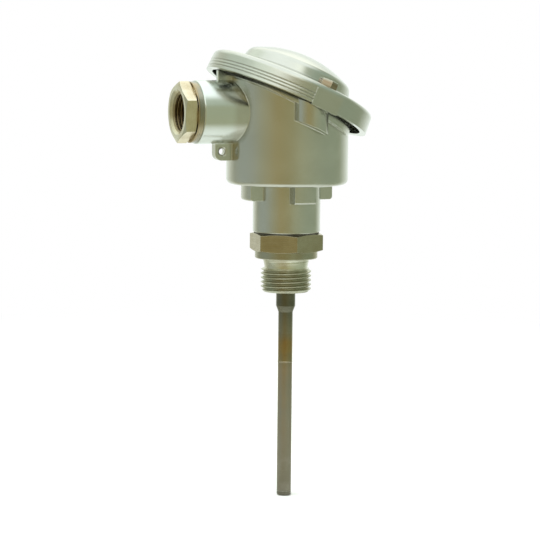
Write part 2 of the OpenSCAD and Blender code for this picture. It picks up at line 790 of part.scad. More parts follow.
// One lead: up out of the insert, then over into its terminal
module lead_wire(s) {
    r = lead_d / 2;
    start = [s[0] * lead_spread, s[1] * lead_spread, insert_top_z + 0.05];
    top_z = terminal_z + 2.4;
    goal = [s[0] * (terminal_x - terminal_l / 2 + 1.2), s[1] * terminal_y, top_z];
    bend = 8;
    p1 = [start[0], start[1], terminal_z - 2];
    p2 = [start[0], start[1], top_z + 1.5];
    p3 = [goal[0] - s[0] * 5.5, goal[1], top_z];
    curve = [for (i = [0:bend]) let (t = i / bend, u = 1 - t)
        u * u * u * p1 + 3 * u * u * t * p2 + 3 * u * t * t * p3 + t * t * t * goal];
    path = concat([start], curve);
    n = len(path);
    tangent = [for (i = [0:n - 1]) let (d = path[min(i + 1, n - 1)] - path[max(i - 1, 0)]) d / norm(d)];
    ref = [-s[1], s[0], 0] / norm(s);
    va = [for (t = tangent) let (c = cross(ref, t)) c / norm(c)];
    vb = [for (i = [0:n - 1]) cross(tangent[i], va[i])];
    swept_tube(path, va, vb, r);
}
module lead_wires() color([0.86, 0.24, 0.16]) on_blocks() for (s = terminal_spots) lead_wire(s);

head_body();
head_cover();
cover_seal();
cover_screw_front();
cover_screw_rear();
screw_washer_front();
screw_washer_rear();
cable_reducer();
reducer_seal();
earth_screw();
process_fitting();
neck_seal();
stem_tube();
tip_tube();
tip_plug();
insert_plate();
insert_tube();
insulation_core();
sensor_element();
insert_screws();
insert_spring_front();
insert_spring_rear();
terminal_base();
terminal_1();
terminal_2();
terminal_3();
terminal_4();
terminal_screws();
lead_wires();
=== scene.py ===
import json
import math
import bpy
from mathutils import Matrix, Vector

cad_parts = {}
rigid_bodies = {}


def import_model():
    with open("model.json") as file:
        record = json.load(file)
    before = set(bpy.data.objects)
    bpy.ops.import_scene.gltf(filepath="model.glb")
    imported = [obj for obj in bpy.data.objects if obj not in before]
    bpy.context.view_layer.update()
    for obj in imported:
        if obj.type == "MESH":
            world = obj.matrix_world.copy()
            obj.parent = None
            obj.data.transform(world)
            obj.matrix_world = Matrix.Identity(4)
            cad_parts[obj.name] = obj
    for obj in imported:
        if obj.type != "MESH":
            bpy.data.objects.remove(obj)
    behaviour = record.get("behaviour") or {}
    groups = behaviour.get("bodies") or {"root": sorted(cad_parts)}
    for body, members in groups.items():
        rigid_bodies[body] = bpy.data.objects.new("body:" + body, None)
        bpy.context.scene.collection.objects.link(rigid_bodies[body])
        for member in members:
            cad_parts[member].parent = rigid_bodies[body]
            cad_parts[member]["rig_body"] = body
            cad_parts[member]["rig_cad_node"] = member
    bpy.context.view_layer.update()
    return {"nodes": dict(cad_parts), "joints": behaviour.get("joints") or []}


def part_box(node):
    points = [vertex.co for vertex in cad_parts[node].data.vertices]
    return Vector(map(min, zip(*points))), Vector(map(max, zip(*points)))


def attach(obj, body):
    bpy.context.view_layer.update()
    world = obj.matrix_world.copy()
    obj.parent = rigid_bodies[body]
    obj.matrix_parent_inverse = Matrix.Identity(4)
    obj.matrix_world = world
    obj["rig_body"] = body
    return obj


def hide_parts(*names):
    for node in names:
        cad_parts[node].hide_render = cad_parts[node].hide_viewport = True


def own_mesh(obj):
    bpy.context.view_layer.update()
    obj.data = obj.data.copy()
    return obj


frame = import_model()
nodes = frame["nodes"]


# ---------------------------------------------------------------- table, tent and lamps
# A pale table top under the probe's tip and a white tent round it, as small
# metal parts are set up. The tent's side towards the camera is open and dim.
camera_data = bpy.data.cameras.new("camera")
camera_data.lens = 155.36
camera_data.sensor_width = 36
camera = bpy.data.objects.new("camera", camera_data)
camera.location = (-0.36054, -0.89300, 0.10107)
camera.rotation_euler = (math.radians(83.69834), math.radians(-0.53714), math.radians(-21.53147))
bpy.context.scene.collection.objects.link(camera)
bpy.context.scene.camera = camera
bpy.context.scene.view_settings.view_transform = "Standard"


def put(tree, kind, sockets=None, **settings):
    """A node of that kind, with its sockets' values and its settings."""
    node = tree.nodes.new(kind)
    for name, value in settings.items():
        setattr(node, name, value)
    for name, value in (sockets or {}).items():
        node.inputs[name].default_value = value
    return node


def join(tree, *pairs):
    """Links output to input, pair by pair."""
    for out, into in pairs:
        tree.links.new(out, into)


def ramp(tree, stops, smooth=False):
    """A colour ramp with (place, colour) stops; a plain number is a grey."""
    node = tree.nodes.new("ShaderNodeValToRGB")
    if smooth:
        node.color_ramp.interpolation = "EASE"
    while len(node.color_ramp.elements) < len(stops):
        node.color_ramp.elements.new(0.5)
    for element, (place, colour) in zip(node.color_ramp.elements, stops):
        element.position = place
        if not hasattr(colour, "__len__"):
            colour = (colour, colour, colour)
        element.color = (*colour, 1)
    return node


def nothing_selected():
    """Object mode, with no object selected."""
    if bpy.context.object and bpy.context.object.mode != "OBJECT":
        bpy.ops.object.mode_set(mode="OBJECT")
    bpy.ops.object.select_all(action="DESELECT")


def only_selected(piece):
    """Object mode, with one object selected and active."""
    nothing_selected()
    piece.select_set(True)
    bpy.context.view_layer.objects.active = piece


def blank_material(name):
    """A material with an empty node tree, and that tree."""
    material = bpy.data.materials.new(name)
    material.use_nodes = True
    material.node_tree.nodes.clear()
    return material, material.node_tree


def node_group(name, inputs, outputs):
    """An empty shader group with (name, kind, value) inputs and (name, kind) outputs."""
    group = bpy.data.node_groups.new(name, "ShaderNodeTree")
    for title, kind, value in inputs:
        socket = group.interface.new_socket(title, in_out="INPUT", socket_type="NodeSocket" + kind)
        if value is not None:
            socket.default_value = value
    for title, kind in outputs:
        group.interface.new_socket(title, in_out="OUTPUT", socket_type="NodeSocket" + kind)
    return group, group.nodes.new("NodeGroupInput"), group.nodes.new("NodeGroupOutput")


# The tent's cloth by direction. Level with the probe it is dim and warm in front, where
# it is open, and pale behind; above that its walls are white in front and dimmer at
# the sides, and its roof is white all over.
tent_group, given, gives = node_group("tent_cloth", [("Direction", "Vector", None)], [("Colour", "Color")])
unit = put(tent_group, "ShaderNodeVectorMath", operation="NORMALIZE")
split = put(tent_group, "ShaderNodeSeparateXYZ")
rightward = put(tent_group, "ShaderNodeVectorMath", operation="DOT_PRODUCT")
rightward.inputs[1].default_value = (0.930, -0.367, 0.0)
backward = put(tent_group, "ShaderNodeVectorMath", operation="DOT_PRODUCT")
backward.inputs[1].default_value = (0.367, 0.924, 0.0)
across = put(tent_group, "ShaderNodeMapRange", {"From Min": -1.0, "From Max": 1.0})
level = ramp(tent_group, [(0.0, (0.43, 0.48, 0.43)), (0.13, (0.42, 0.42, 0.28)), (0.33, (0.42, 0.36, 0.17)),
                          (0.55, (0.41, 0.38, 0.20)), (0.75, (0.44, 0.46, 0.30)), (1.0, (0.38, 0.44, 0.32))])
back_mask = put(tent_group, "ShaderNodeMapRange", {"From Min": 0.45, "From Max": 0.95})
with_back = put(tent_group, "ShaderNodeMix", data_type="RGBA")
with_back.inputs["B"].default_value = (1.06, 1.14, 1.08, 1)
wall = ramp(tent_group, [(0.0, (0.58, 0.68, 0.60)), (0.09, (0.80, 0.90, 0.80)), (0.22, (1.15, 1.26, 1.14)),
                         (0.42, (1.50, 1.55, 1.46)), (0.64, (1.66, 1.72, 1.60)), (0.76, (0.54, 0.60, 0.48)),
                         (0.88, (0.46, 0.56, 0.46)), (1.0, (0.60, 0.70, 0.62))], smooth=True)
wall_mask = put(tent_group, "ShaderNodeMapRange", {"From Min": 0.30, "From Max": 0.54},
                interpolation_type="SMOOTHSTEP")
with_wall = put(tent_group, "ShaderNodeMix", data_type="RGBA")
roof_mask = put(tent_group, "ShaderNodeMapRange", {"From Min": 0.66, "From Max": 0.90},
                interpolation_type="SMOOTHSTEP")
with_roof = put(tent_group, "ShaderNodeMix", data_type="RGBA")
with_roof.inputs["B"].default_value = (1.46, 1.55, 1.54, 1)
join(tent_group, (given.outputs[0], unit.inputs[0]), (unit.outputs[0], split.inputs[0]),
     (unit.outputs[0], rightward.inputs[0]), (unit.outputs[0], backward.inputs[0]),
     (rightward.outputs["Value"], across.inputs["Value"]), (across.outputs[0], level.inputs[0]),
     (backward.outputs["Value"], back_mask.inputs["Value"]), (level.outputs[0], with_back.inputs["A"]),
     (back_mask.outputs[0], with_back.inputs["Factor"]), (across.outputs[0], wall.inputs[0]),
     (split.outputs["Z"], wall_mask.inputs["Value"]), (with_back.outputs["Result"], with_wall.inputs["A"]),
     (wall.outputs[0], with_wall.inputs["B"]), (wall_mask.outputs[0], with_wall.inputs["Factor"]),
     (split.outputs["Z"], roof_mask.inputs["Value"]), (with_wall.outputs["Result"], with_roof.inputs["A"]),
     (roof_mask.outputs[0], with_roof.inputs["Factor"]),
     (with_roof.outputs["Result"], gives.inputs["Colour"]))

tent = bpy.data.worlds.new("tent")
bpy.context.scene.world = tent
tent.use_nodes = True
tree = tent.node_tree
tree.nodes.clear()
where = put(tree, "ShaderNodeTexCoord")
cloth = put(tree, "ShaderNodeGroup", node_tree=tent_group)
rays = put(tree, "ShaderNodeLightPath")
seen = put(tree, "ShaderNodeMix", data_type="RGBA")
seen.inputs["B"].default_value = (1, 1, 1, 1)
glow = put(tree, "ShaderNodeBackground", {"Strength": 1.0})
out = put(tree, "ShaderNodeOutputWorld")
join(tree, (where.outputs["Generated"], cloth.inputs[0]), (cloth.outputs[0], seen.inputs["A"]),
     (rays.outputs["Is Camera Ray"], seen.inputs["Factor"]), (seen.outputs["Result"], glow.inputs["Color"]),
     (glow.outputs[0], out.inputs[0]))

# The table top: white near the probe with its shadow, and plain white further off.
nothing_selected()
bpy.ops.mesh.primitive_circle_add(vertices=96, radius=12, fill_type="NGON", location=(0, 0, -0.1002))
floor = bpy.context.object
floor.name = "table_top"
bpy.ops.object.transform_apply(location=True, rotation=True, scale=True)
paper, tree = blank_material("table_paper")
where = put(tree, "ShaderNodeTexCoord")
reach = put(tree, "ShaderNodeVectorMath", operation="LENGTH")
far = put(tree, "ShaderNodeMapRange", {"From Min": 0.22, "From Max": 0.60}, interpolation_type="SMOOTHSTEP")
fibre = put(tree, "ShaderNodeTexNoise", {"Scale": 900.0, "Detail": 3.0})
fibre_bump = put(tree, "ShaderNodeBump", {"Strength": 0.03, "Distance": 0.0003})
matt = put(tree, "ShaderNodeBsdfDiffuse", {"Color": (0.86, 0.865, 0.86, 1), "Roughness": 0.6})
rays = put(tree, "ShaderNodeLightPath")
near = put(tree, "ShaderNodeMapRange", {"From Min": 0.07, "From Max": 0.24},
           interpolation_type="SMOOTHSTEP")
mirrored = put(tree, "ShaderNodeMath", operation="MULTIPLY")
lift = put(tree, "ShaderNodeMath", operation="MULTIPLY")
lift.inputs[1].default_value = 0.16
lifted = put(tree, "ShaderNodeEmission", {"Color": (1, 1, 1, 1)})
both = put(tree, "ShaderNodeAddShader")
white = put(tree, "ShaderNodeEmission", {"Strength": 1.0})
cloth = put(tree, "ShaderNodeGroup", node_tree=tent_group)
far_colour = put(tree, "ShaderNodeMix", data_type="RGBA")
far_colour.inputs["B"].default_value = (1, 1, 1, 1)
away = put(tree, "ShaderNodeMath", operation="MULTIPLY_ADD")
blend = put(tree, "ShaderNodeMixShader")
out = put(tree, "ShaderNodeOutputMaterial")
join(tree, (where.outputs["Object"], reach.inputs[0]), (reach.outputs["Value"], far.inputs["Value"]),
     (where.outputs["Object"], fibre.inputs["Vector"]), (fibre.outputs[0], fibre_bump.inputs["Height"]),
     (fibre_bump.outputs[0], matt.inputs["Normal"]), (reach.outputs["Value"], near.inputs["Value"]),
     (near.outputs[0], mirrored.inputs[0]), (rays.outputs["Is Glossy Ray"], mirrored.inputs[1]),
     (mirrored.outputs[0], away.inputs[2]), (rays.outputs["Is Camera Ray"], lift.inputs[0]),
     (lift.outputs[0], lifted.inputs["Strength"]), (matt.outputs[0], both.inputs[0]),
     (lifted.outputs[0], both.inputs[1]), (where.outputs["Object"], cloth.inputs[0]),
     (cloth.outputs[0], far_colour.inputs["A"]),
     (rays.outputs["Is Camera Ray"], far_colour.inputs["Factor"]),
     (far_colour.outputs["Result"], white.inputs["Color"]), (far.outputs[0], away.inputs[0]),
     (rays.outputs["Is Camera Ray"], away.inputs[1]), (away.outputs[0], blend.inputs[0]),
     (both.outputs[0], blend.inputs[1]), (white.outputs[0], blend.inputs[2]),
     (blend.outputs[0], out.inputs[0]))
floor.data.materials.append(paper)


def softbox(name, place, look_at, size, watts, colour=(1, 1, 1)):
    """A square cloth-covered lamp at a place, turned to a point, and not seen itself."""
    lamp = bpy.data.lights.new(name, "AREA")
    lamp.shape = "RECTANGLE"
    lamp.size, lamp.size_y = size
    lamp.energy = watts
    lamp.color = colour
    stand = bpy.data.objects.new(name, lamp)
    stand.location = place
    stand.rotation_euler = (Vector(look_at) - Vector(place)).to_track_quat("-Z", "Y").to_euler()
    stand.visible_camera = False
    stand.visible_glossy = False
    bpy.context.scene.collection.objects.link(stand)


softbox("softbox_above_left", (-0.58, -0.02, 0.80), (0, 0, 0.03), (0.70, 0.80), 3.6, (0.97, 1.0, 1.0))
softbox("softbox_right", (0.80, -0.20, 0.22), (0, 0, 0.02), (0.40, 0.80), 0.35, (0.97, 1.0, 0.96))
softbox("softbox_left", (-0.85, 0.15, 0.15), (0, 0, 0.02), (0.40, 0.80), 0.8, (0.95, 1.0, 1.0))
softbox("softbox_behind", (0.25, 0.85, 0.45), (0, 0, 0.04), (0.60, 0.50), 1.0)


# ---------------------------------------------------------------- die-cast head and cover
# The head's pot and its cover are pressure die castings in aluminium, trimmed and
# then tumbled, so their skin is satin, faintly mottled, and brighter along each edge, as wear and as a
# painted highlight.

# Worn and highlit edges: places where the surface turns sharply within a small radius; the colour mixed in
# there is wear and also a painted highlight.
edge_group, given, gives = node_group(
    "worn_and_highlit_edges", [("Radius", "Float", 0.0004), ("Spread", "Float", 0.25)],
    [("Edge", "Float"), ("Normal", "Vector")])
rounded = put(edge_group, "ShaderNodeBevel", samples=6)
true_normal = put(edge_group, "ShaderNodeNewGeometry")
agree = put(edge_group, "ShaderNodeVectorMath", operation="DOT_PRODUCT")
edge = put(edge_group, "ShaderNodeMapRange", {"From Min": 1.0, "To Min": 0.0, "To Max": 1.0})
turn = put(edge_group, "ShaderNodeMath", operation="SUBTRACT")
turn.inputs[0].default_value = 1.0
join(edge_group, (given.outputs["Radius"], rounded.inputs["Radius"]), (rounded.outputs[0], agree.inputs[0]),
     (true_normal.outputs["Normal"], agree.inputs[1]), (agree.outputs["Value"], edge.inputs["Value"]),
     (given.outputs["Spread"], turn.inputs[1]), (turn.outputs[0], edge.inputs["From Max"]),
     (edge.outputs[0], gives.inputs["Edge"]), (rounded.outputs[0], gives.inputs["Normal"]))

# Cast skin: fine grain from the die and the tumbling stones.
skin_group, given, gives = node_group(
    "cast_skin", [("Grain", "Float", 1.0), ("Size", "Float", 0.0006), ("Normal", "Vector", None)],
    [("Mottle", "Float"), ("Speck", "Float"), ("Normal", "Vector")])
where = put(skin_group, "ShaderNodeTexCoord")
scale = put(skin_group, "ShaderNodeMath", operation="DIVIDE")
scale.inputs[0].default_value = 1.0
fine = put(skin_group, "ShaderNodeTexNoise", {"Detail": 4.0, "Roughness": 0.6})
soft = put(skin_group, "ShaderNodeTexNoise", {"Scale": 95.0, "Detail": 3.0, "Roughness": 0.55})
depth = put(skin_group, "ShaderNodeMath", operation="MULTIPLY")
depth.inputs[1].default_value = 0.16
bump = put(skin_group, "ShaderNodeBump", {"Distance": 0.000035})
join(skin_group, (given.outputs["Size"], scale.inputs[1]), (scale.outputs[0], fine.inputs["Scale"]),
     (where.outputs["Object"], fine.inputs["Vector"]), (where.outputs["Object"], soft.inputs["Vector"]),
     (given.outputs["Grain"], depth.inputs[0]), (depth.outputs[0], bump.inputs["Strength"]),
     (fine.outputs[0], bump.inputs["Height"]), (given.outputs["Normal"], bump.inputs["Normal"]),
     (soft.outputs[0], gives.inputs["Mottle"]), (fine.outputs[0], gives.inputs["Speck"]),
     (bump.outputs[0], gives.inputs["Normal"]))


def die_cast(name, dark, light, painted_light_outboard, edge_wear_and_highlight_colour, satin, grain, edge_radius):
    """Tumbled die-cast aluminium: two mottled tones, paler over the cable boss outward of the wall
    and above the lug as painted light, edges brighter as wear and as painted highlight, and a satin gloss."""
    metal, tree = blank_material(name)
    edge_wear_and_highlight = put(tree, "ShaderNodeGroup", node_tree=edge_group)
    edge_wear_and_highlight.inputs["Radius"].default_value = edge_radius
    edge_wear_and_highlight.inputs["Spread"].default_value = 0.22
    skin = put(tree, "ShaderNodeGroup", node_tree=skin_group)
    skin.inputs["Grain"].default_value = grain
    skin.inputs["Size"].default_value = 0.00055
    tone = ramp(tree, [(0.30, dark), (0.70, light)])
    where = put(tree, "ShaderNodeTexCoord")
    parts = put(tree, "ShaderNodeSeparateXYZ")
    # Painted light: outward of the wall and above the lug, over the cable boss, the colour is mixed towards a
    # paler tone.
    wall_x, boss_x = -0.0262, -0.0290
    outward = put(tree, "ShaderNodeMapRange", {"From Min": wall_x, "From Max": boss_x})
    lug_z, boss_z = 0.0468, 0.0480
    above_lug = put(tree, "ShaderNodeMapRange", {"From Min": lug_z, "From Max": boss_z})
    on_boss = put(tree, "ShaderNodeMath", operation="MULTIPLY")
    toned = put(tree, "ShaderNodeMix", data_type="RGBA")
    toned.inputs["B"].default_value = (*painted_light_outboard, 1)
    faint = put(tree, "ShaderNodeMath", operation="MULTIPLY")
    faint.inputs[1].default_value = 0.75
    colour = put(tree, "ShaderNodeMix", data_type="RGBA")
    colour.inputs["B"].default_value = (*edge_wear_and_highlight_colour, 1)
    gloss = put(tree, "ShaderNodeMapRange",
                {"From Min": 0.3, "From Max": 0.7, "To Min": satin - 0.05, "To Max": satin + 0.06})
    body = put(tree, "ShaderNodeBsdfPrincipled", {"Metallic": 0.97})
    out = put(tree, "ShaderNodeOutputMaterial")
    join(tree, (skin.outputs["Mottle"], tone.inputs[0]), (tone.outputs[0], toned.inputs["A"]),
         (where.outputs["Object"], parts.inputs[0]), (parts.outputs["X"], outward.inputs["Value"]),
         (parts.outputs["Z"], above_lug.inputs["Value"]), (outward.outputs[0], on_boss.inputs[0]),
         (above_lug.outputs[0], on_boss.inputs[1]), (on_boss.outputs[0], toned.inputs["Factor"]),
         (toned.outputs["Result"], colour.inputs["A"]), (edge_wear_and_highlight.outputs["Edge"], faint.inputs[0]),
         (faint.outputs[0], colour.inputs["Factor"]), (colour.outputs["Result"], body.inputs["Base Color"]),
         (skin.outputs["Mottle"], gloss.inputs["Value"]), (gloss.outputs[0], body.inputs["Roughness"]),
         (edge_wear_and_highlight.outputs["Normal"], skin.inputs["Normal"]), (skin.outputs["Normal"], body.inputs["Normal"]),
         (body.outputs[0], out.inputs[0]))
    return metal


def dress(name, metal):
    """Gives a CAD node its finish, over every slot it has."""
    mesh = nodes[name].data
    if not mesh.materials:
        mesh.materials.append(metal)
    for number in range(len(mesh.materials)):
        mesh.materials[number] = metal


head_metal = die_cast(
    "head_die_casting", dark=(0.565, 0.57, 0.51), light=(0.615, 0.62, 0.56), painted_light_outboard=(0.68, 0.72, 0.68),
    edge_wear_and_highlight_colour=(0.94, 0.95, 0.89), satin=0.20, grain=0.03, edge_radius=0.0004)
cover_metal = die_cast(
    "cover_die_casting", dark=(0.53, 0.54, 0.485), light=(0.57, 0.58, 0.525), painted_light_outboard=(0.55, 0.56, 0.505),
    edge_wear_and_highlight_colour=(0.74, 0.75, 0.71), satin=0.18, grain=0.04, edge_radius=0.0002)
dress("head_body", head_metal)
dress("head_cover", cover_metal)


# ---------------------------------------------------------------- flat seals
# Three flat rings: grey silicone under the cover, black rubber behind the reducer's
# shoulder and dark fibre between the hexagon and the neck. Matt and lightly dusted.
def rubber(name, dark, dusty):
    """Matt rubber or fibre: two cloudy tones and a fine tooth."""
    stuff, tree = blank_material(name)
    where = put(tree, "ShaderNodeTexCoord")
    cloud = put(tree, "ShaderNodeTexNoise", {"Scale": 260.0, "Detail": 4.0})
    tone = ramp(tree, [(0.40, dark), (0.72, dusty)])
    fine = put(tree, "ShaderNodeTexNoise", {"Scale": 5200.0, "Detail": 2.0})
    bump = put(tree, "ShaderNodeBump", {"Strength": 0.25, "Distance": 0.00005})
    gloss = put(tree, "ShaderNodeMapRange", {"To Min": 0.58, "To Max": 0.80})
    body = put(tree, "ShaderNodeBsdfPrincipled", {"Specular IOR Level": 0.35})
    out = put(tree, "ShaderNodeOutputMaterial")
    join(tree, (where.outputs["Object"], cloud.inputs["Vector"]),
         (where.outputs["Object"], fine.inputs["Vector"]), (cloud.outputs[0], tone.inputs[0]),
         (tone.outputs[0], body.inputs["Base Color"]), (cloud.outputs[0], gloss.inputs["Value"]),
         (gloss.outputs[0], body.inputs["Roughness"]), (fine.outputs[0], bump.inputs["Height"]),
         (bump.outputs[0], body.inputs["Normal"]), (body.outputs[0], out.inputs[0]))
    return stuff


seal_rubber = rubber("seal_rubber", (0.022, 0.022, 0.021), (0.060, 0.060, 0.056))
# The cover seal is grey silicone made pale so that the shaded gap under the cover reads lighter: painted
# light.
dress("cover_seal", rubber("cover_seal_silicone", (0.30, 0.31, 0.26), (0.40, 0.42, 0.36)))
dress("reducer_seal", seal_rubber)
dress("neck_seal", rubber("neck_seal_fibre", (0.050, 0.046, 0.034), (0.11, 0.10, 0.08)))


# ---------------------------------------------------------------- screw-in fitting
# Turned from hexagon bar in stainless steel: sealing collar, run-out groove and a
# G1/2 pipe thread below, and a plain stub that screws into the head's neck above.
# Tool marks run round the piece, and handling has left brownish stains.
lathe_group, given, gives = node_group(
    "lathe_marks", [("Depth", "Float", 1.0), ("Pitch", "Float", 0.00018),
                    ("Axis", "Vector", (0, 0, 1)), ("Normal", "Vector", None)],
    [("Stain", "Float"), ("Marks", "Float"), ("Normal", "Vector")])
where = put(lathe_group, "ShaderNodeTexCoord")
parts = put(lathe_group, "ShaderNodeVectorMath", operation="DOT_PRODUCT")
ring_z = put(lathe_group, "ShaderNodeMath", operation="DIVIDE")
across = put(lathe_group, "ShaderNodeVectorMath", operation="SCALE")
across.inputs["Scale"].default_value = 40.0
across_parts = put(lathe_group, "ShaderNodeSeparateXYZ")
ring = put(lathe_group, "ShaderNodeCombineXYZ")
marks = put(lathe_group, "ShaderNodeTexNoise", {"Scale": 1.0, "Detail": 2.0, "Roughness": 0.7})
stain = put(lathe_group, "ShaderNodeTexNoise", {"Scale": 130.0, "Detail": 5.0, "Roughness": 0.6})
depth = put(lathe_group, "ShaderNodeMath", operation="MULTIPLY")
depth.inputs[1].default_value = 0.22
bump = put(lathe_group, "ShaderNodeBump", {"Distance": 0.000008})
join(lathe_group, (where.outputs["Object"], parts.inputs[0]), (given.outputs["Axis"], parts.inputs[1]),
     (parts.outputs["Value"], ring_z.inputs[0]), (given.outputs["Pitch"], ring_z.inputs[1]),
     (where.outputs["Object"], across.inputs[0]), (across.outputs[0], across_parts.inputs[0]),
     (across_parts.outputs["X"], ring.inputs["X"]), (across_parts.outputs["Y"], ring.inputs["Y"]),
     (ring_z.outputs[0], ring.inputs["Z"]), (ring.outputs[0], marks.inputs["Vector"]),
     (where.outputs["Object"], stain.inputs["Vector"]), (given.outputs["Depth"], depth.inputs[0]),
     (depth.outputs[0], bump.inputs["Strength"]), (marks.outputs[0], bump.inputs["Height"]),
     (given.outputs["Normal"], bump.inputs["Normal"]), (stain.outputs[0], gives.inputs["Stain"]),
     (marks.outputs[0], gives.inputs["Marks"]), (bump.outputs[0], gives.inputs["Normal"]))


def turned_metal(name, tones, stained, edge_wear_and_highlight_colour, satin, depth, low_z=-0.101, high_z=0.05, pitch=0.00018,
                 axis=(0, 0, 1)):
    """Turned metal: tones along its axis from low_z to high_z, stains, lathe marks and bright edges, as wear
    and as a painted highlight.
    """
    metal, tree = blank_material(name)
    where = put(tree, "ShaderNodeTexCoord")
    parts = put(tree, "ShaderNodeVectorMath", operation="DOT_PRODUCT")
    parts.inputs[1].default_value = axis
    height = put(tree, "ShaderNodeMapRange", {"From Min": low_z, "From Max": high_z})
    tone = ramp(tree, [((z - low_z) / (high_z - low_z), colour) for z, colour in tones])
    edge_wear_and_highlight = put(tree, "ShaderNodeGroup", node_tree=edge_group)
    edge_wear_and_highlight.inputs["Radius"].default_value = 0.00025
    edge_wear_and_highlight.inputs["Spread"].default_value = 0.3
    turned = put(tree, "ShaderNodeGroup", node_tree=lathe_group)
    turned.inputs["Depth"].default_value = depth
    turned.inputs["Pitch"].default_value = pitch
    turned.inputs["Axis"].default_value = axis
    stain_mask = put(tree, "ShaderNodeMapRange", {"From Min": 0.42, "From Max": 0.75, "To Max": 0.75})
    dirty = put(tree, "ShaderNodeMix", data_type="RGBA")
    dirty.inputs["B"].default_value = (*stained, 1)
    edged = put(tree, "ShaderNodeMix", data_type="RGBA")
    edged.inputs["B"].default_value = (*edge_wear_and_highlight_colour, 1)
    lined = put(tree, "ShaderNodeMapRange",
                {"From Min": 0.3, "From Max": 0.7, "To Min": satin - 0.05, "To Max": satin + 0.07})
    body = put(tree, "ShaderNodeBsdfPrincipled", {"Metallic": 1.0})
    out = put(tree, "ShaderNodeOutputMaterial")
    join(tree, (where.outputs["Object"], parts.inputs[0]), (parts.outputs["Value"], height.inputs["Value"]),
         (height.outputs[0], tone.inputs[0]), (tone.outputs[0], dirty.inputs["A"]),
         (turned.outputs["Stain"], stain_mask.inputs["Value"]),
         (stain_mask.outputs[0], dirty.inputs["Factor"]), (dirty.outputs["Result"], edged.inputs["A"]),
         (edge_wear_and_highlight.outputs["Edge"], edged.inputs["Factor"]),
         (edged.outputs["Result"], body.inputs["Base Color"]),
         (turned.outputs["Marks"], lined.inputs["Value"]), (lined.outputs[0], body.inputs["Roughness"]),
         (edge_wear_and_highlight.outputs["Normal"], turned.inputs["Normal"]),
         (turned.outputs["Normal"], body.inputs["Normal"]), (body.outputs[0], out.inputs[0]))
    return metal


def copy_of(piece, name):
    """The same piece again, with a mesh of its own."""
    copy = piece.copy()
    copy.data = piece.data.copy()
    copy.name = copy.data.name = name
    bpy.context.scene.collection.objects.link(copy)
    return copy


def merged_copy(name, node):
    """A copy of a CAD node's mesh as a new object, with its triangles joined up."""
    copy = copy_of(nodes[node], name)
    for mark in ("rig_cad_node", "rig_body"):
        if mark in copy:
            del copy[mark]
    copy.parent = None
    only_selected(copy)
    if copy.data.has_custom_normals:
        bpy.ops.mesh.customdata_custom_splitnormals_clear()
    bpy.ops.object.mode_set(mode="EDIT")
    bpy.ops.mesh.select_all(action="SELECT")
    bpy.ops.mesh.remove_doubles(threshold=0.000002)
    bpy.ops.object.mode_set(mode="OBJECT")
    return copy


def thread_form(turns, root, crest):
    """Radius on a rounded 55 or 60 degree thread, by how many turns a point has gone."""
    place = turns - math.floor(turns)
    rise = min(1.0, max(0.0, (abs(place - 0.5) * 2 - 0.14) / 0.72))
    rise = rise * rise * (3 - 2 * rise) * 0.35 + rise * 0.65
    return root + (crest - root) * rise


def threaded_sleeve(name, low, high, bore, root, crest, pitch, limit, corners=72, step=0.1, inside=False):
    """A sleeve about Z from low to high, in millimetres, with a thread cut on its outside,
    or on its inside where bore is the far wall. limit(z) is the turned blank's radius."""
    mm = 0.001
    nothing_selected()
    bpy.ops.mesh.primitive_circle_add(vertices=corners, radius=bore * mm, fill_type="NOTHING",
                                      location=(0, 0, 0))
    sleeve = bpy.context.object
    sleeve.name = sleeve.data.name = name
    rings = max(8, round((high - low) / step))
    bpy.ops.object.mode_set(mode="EDIT")
    bpy.ops.mesh.select_mode(type="EDGE")
    bpy.ops.mesh.select_all(action="SELECT")
    for _ in range(rings + 2):
        bpy.ops.mesh.extrude_region_move(TRANSFORM_OT_translate={"value": (0, 0, mm)})
    bpy.ops.object.mode_set(mode="OBJECT")
    for vertex in sleeve.data.vertices:
        row = round(vertex.co.z / mm)
        angle = math.atan2(vertex.co.y, vertex.co.x)
        z = low + (high - low) * min(rings, max(0, row - 1)) / rings
        radius = bore
        if 1 <= row <= rings + 1:
            cut = thread_form(z / pitch - angle / (2 * math.pi), root, crest)
            radius = max(cut, limit(z)) if inside else min(cut, limit(z))
        vertex.co = (radius * math.cos(angle) * mm, radius * math.sin(angle) * mm, z * mm)
    bpy.ops.object.mode_set(mode="EDIT")
    bpy.ops.mesh.select_all(action="DESELECT")
    bpy.ops.mesh.select_non_manifold()
    bpy.ops.mesh.bridge_edge_loops()
    bpy.ops.mesh.select_all(action="SELECT")
    bpy.ops.mesh.normals_make_consistent(inside=False)
    bpy.ops.object.mode_set(mode="OBJECT")
    only_selected(sleeve)
    bpy.ops.object.shade_smooth_by_angle(angle=math.radians(38))
    return sleeve


def cut_off(piece, place, facing):
    """Bisects a merged piece and closes it, keeping the side that facing points away from."""
    only_selected(piece)
    bpy.ops.object.mode_set(mode="EDIT")
    bpy.ops.mesh.select_all(action="SELECT")
    bpy.ops.mesh.bisect(plane_co=place, plane_no=facing, use_fill=True, clear_outer=True)
    bpy.ops.object.mode_set(mode="OBJECT")


def joined(main, *others):
    """The other pieces become part of the main one."""
    nothing_selected()
    for piece in (main, *others):
        piece.select_set(True)
    bpy.context.view_layer.objects.active = main
    bpy.ops.object.join()
    only_selected(main)
    bpy.ops.object.shade_smooth_by_angle(angle=math.radians(35))
    return main


def pipe_blank(z):
    """The blank's radius in millimetres: chamfer at the end, and a waist that tapers
    from the collar down to the thread's run-out."""
    if z < -12.8:
        return 9.2775 + (z + 14.0)
    if z > -4.0:
        return 8.95 + 0.95 * (1 + z / 4.0) ** 1.6
    return min(10.4775, 8.95 + (-4.0 - z) * 1.9)


